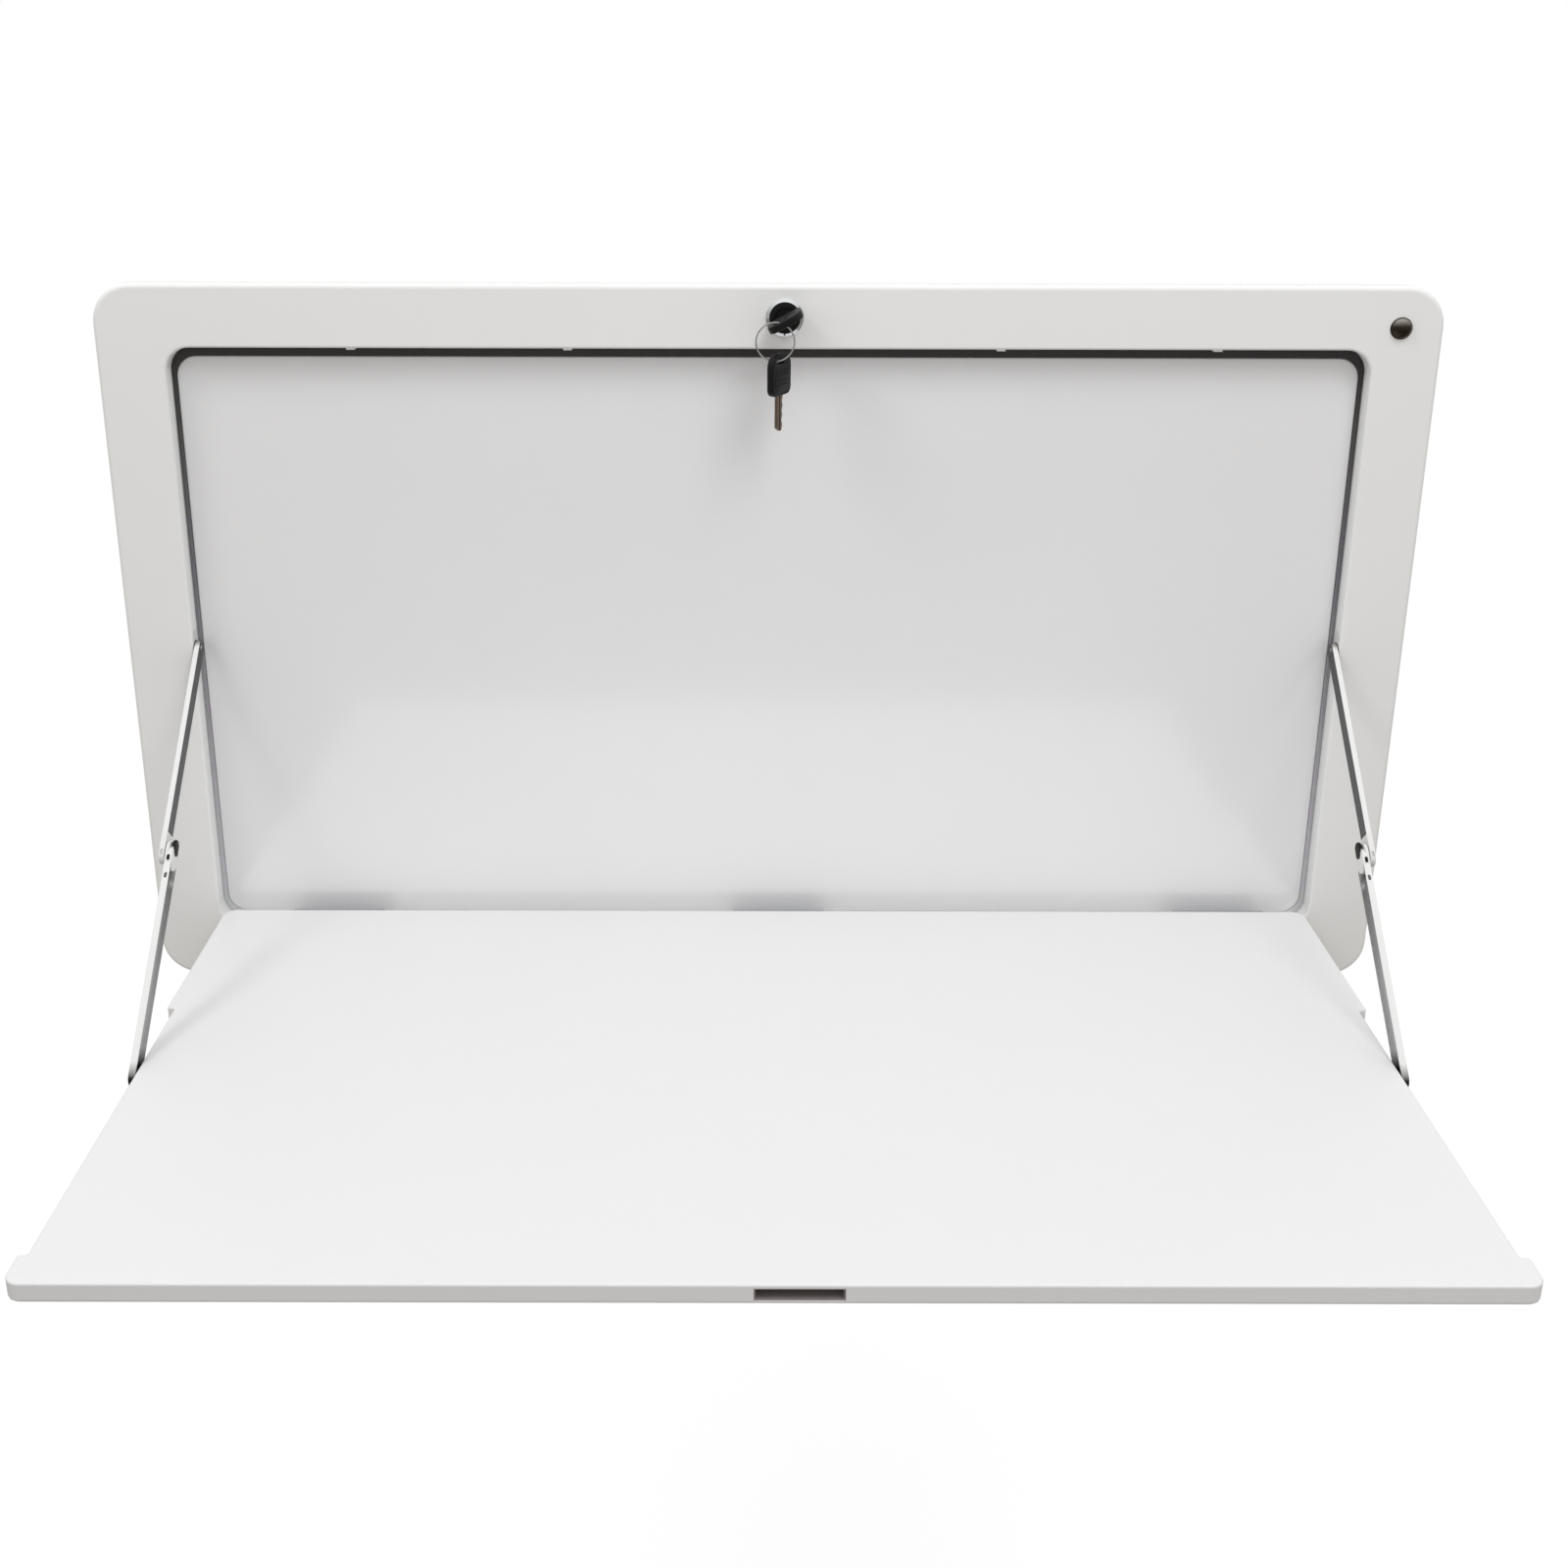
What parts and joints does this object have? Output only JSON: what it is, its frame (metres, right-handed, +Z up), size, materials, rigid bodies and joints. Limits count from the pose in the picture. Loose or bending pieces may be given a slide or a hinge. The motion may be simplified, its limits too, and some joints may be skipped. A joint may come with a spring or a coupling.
{
  "type": "wall-mounted folding table",
  "caption": "White moulded surround with a back panel and a lockable drop leaf that folds down into a table on two folding stays.",
  "frame": {"origin": "middle of the surround's back plane, which lies on the wall, at the centre of the four wall screw holes", "axes": "+X to the right seen from the room, +Y into the wall, +Z up"},
  "size_m": [0.8, 0.402, 0.455],
  "materials": {
    "surround_plastic": "white moulded plastic, satin with a fine grain",
    "panel_plastic": "white moulded plastic, satin",
    "leaf_plastic": "white moulded plastic, satin",
    "core_board": "pale plywood",
    "seal_rubber": "black rubber, dull",
    "strike_plastic": "dark grey plastic",
    "hinge_steel": "stainless steel sheet",
    "stay_steel": "bright zinc plated steel",
    "rivet_steel": "plated steel",
    "clip_plastic": "white plastic",
    "pad_nylon": "black nylon",
    "screw_steel": "plated steel",
    "lock_chrome": "bright chrome",
    "plug_brass": "blackened brass",
    "cam_steel": "zinc plated steel",
    "bow_plastic": "black plastic",
    "blade_steel": "nickel plated, worn",
    "ring_steel": "spring steel wire",
    "stud_metal": "dark bronze finish"
  },
  "bodies": {
    "surround": {"surround_frame": "surround_plastic", "back_panel": "panel_plastic", "panel_screws": "screw_steel", "door_seal": "seal_rubber", "hinge_left_frame_flap": "hinge_steel", "hinge_middle_frame_flap": "hinge_steel", "hinge_right_frame_flap": "hinge_steel", "hinge_left_pin": "rivet_steel", "hinge_middle_pin": "rivet_steel", "hinge_right_pin": "rivet_steel", "hinge_frame_rivets": "rivet_steel", "left_frame_bracket": "stay_steel", "right_frame_bracket": "stay_steel", "left_upper_pivot": "rivet_steel", "right_upper_pivot": "rivet_steel", "bracket_rivets": "rivet_steel", "lock_housing": "lock_chrome", "lock_nut": "cam_steel", "corner_stud": "stud_metal", "stud_washer": "cam_steel"},
    "leaf": {"leaf_top_shell": "leaf_plastic", "leaf_core": "core_board", "leaf_under_skin": "leaf_plastic", "latch_strike": "strike_plastic", "hinge_left_leaf_flap": "hinge_steel", "hinge_middle_leaf_flap": "hinge_steel", "hinge_right_leaf_flap": "hinge_steel", "hinge_leaf_screws": "screw_steel", "left_lower_pivot": "rivet_steel", "right_lower_pivot": "rivet_steel", "leaf_side_screws": "screw_steel"},
    "lock_core": {"lock_plug": "plug_brass", "lock_cam": "cam_steel", "cam_screw": "screw_steel"},
    "key": {"key_bow": "bow_plastic", "key_blade": "blade_steel"},
    "ring": {"key_ring": "ring_steel"},
    "spare_key": {"spare_key_bow": "bow_plastic", "spare_key_blade": "blade_steel"},
    "left_upper_stay": {"left_upper_arm": "stay_steel", "left_elbow_clip": "clip_plastic", "left_elbow_rivet_outer": "rivet_steel"},
    "left_lower_stay": {"left_lower_arm": "stay_steel", "left_elbow_pad": "pad_nylon", "left_elbow_rivet_inner": "rivet_steel"},
    "right_upper_stay": {"right_upper_arm": "stay_steel", "right_elbow_clip": "clip_plastic", "right_elbow_rivet_outer": "rivet_steel"},
    "right_lower_stay": {"right_lower_arm": "stay_steel", "right_elbow_pad": "pad_nylon", "right_elbow_rivet_inner": "rivet_steel"}
  },
  "joints": [
    {"name": "leaf_fold", "type": "hinge", "parent": "surround", "child": "leaf", "pos_m": [0, -0.0076, -0.1885], "axis": [-1, 0, 0], "range_deg": [0, 90]},
    {"name": "left_upper_stay_turn", "type": "hinge", "parent": "surround", "child": "left_upper_stay", "pos_m": [-0.3575, -0.0045, -0.0005], "axis": [-1, 0, 0], "range_deg": [0, 133.04]},
    {"name": "left_lower_stay_turn", "type": "hinge", "parent": "leaf", "child": "left_lower_stay", "pos_m": [-0.353, -0.2026, -0.1854], "axis": [-1, 0, 0], "range_deg": [-136.98, 0]},
    {"name": "right_upper_stay_turn", "type": "hinge", "parent": "surround", "child": "right_upper_stay", "pos_m": [0.3575, -0.0045, -0.0005], "axis": [-1, 0, 0], "range_deg": [0, 133.04]},
    {"name": "right_lower_stay_turn", "type": "hinge", "parent": "leaf", "child": "right_lower_stay", "pos_m": [0.353, -0.2026, -0.1854], "axis": [-1, 0, 0], "range_deg": [-136.98, 0]},
    {"name": "lock_turn", "type": "hinge", "parent": "surround", "child": "lock_core", "pos_m": [0.0095, 0, 0.2085], "axis": [0, -1, 0], "range_deg": [0, 90]},
    {"name": "key_pull", "type": "slide", "parent": "lock_core", "child": "key", "axis": [0, -1, 0], "range_m": [0, 0.026]},
    {"name": "ring_swing", "type": "hinge", "parent": "key", "child": "ring", "pos_m": [0.0081, -0.0335, 0.20772], "axis": [0, -1, 0], "range_deg": [-15, 10]},
    {"name": "spare_key_hang", "type": "hinge", "parent": "ring", "child": "spare_key", "pos_m": [0.00351, -0.0335, 0.19751], "axis": [0, -1, 0], "range_deg": [-90, 0]}
  ],
  "couplings": [
    {"joint": "left_upper_stay_turn", "follows": "leaf_fold", "ratio": 1.4781},
    {"joint": "left_lower_stay_turn", "follows": "leaf_fold", "ratio": -1.5219},
    {"joint": "right_upper_stay_turn", "follows": "leaf_fold", "ratio": 1.4781},
    {"joint": "right_lower_stay_turn", "follows": "leaf_fold", "ratio": -1.5219},
    {"joint": "spare_key_hang", "follows": "lock_turn", "ratio": -1}
  ]
}
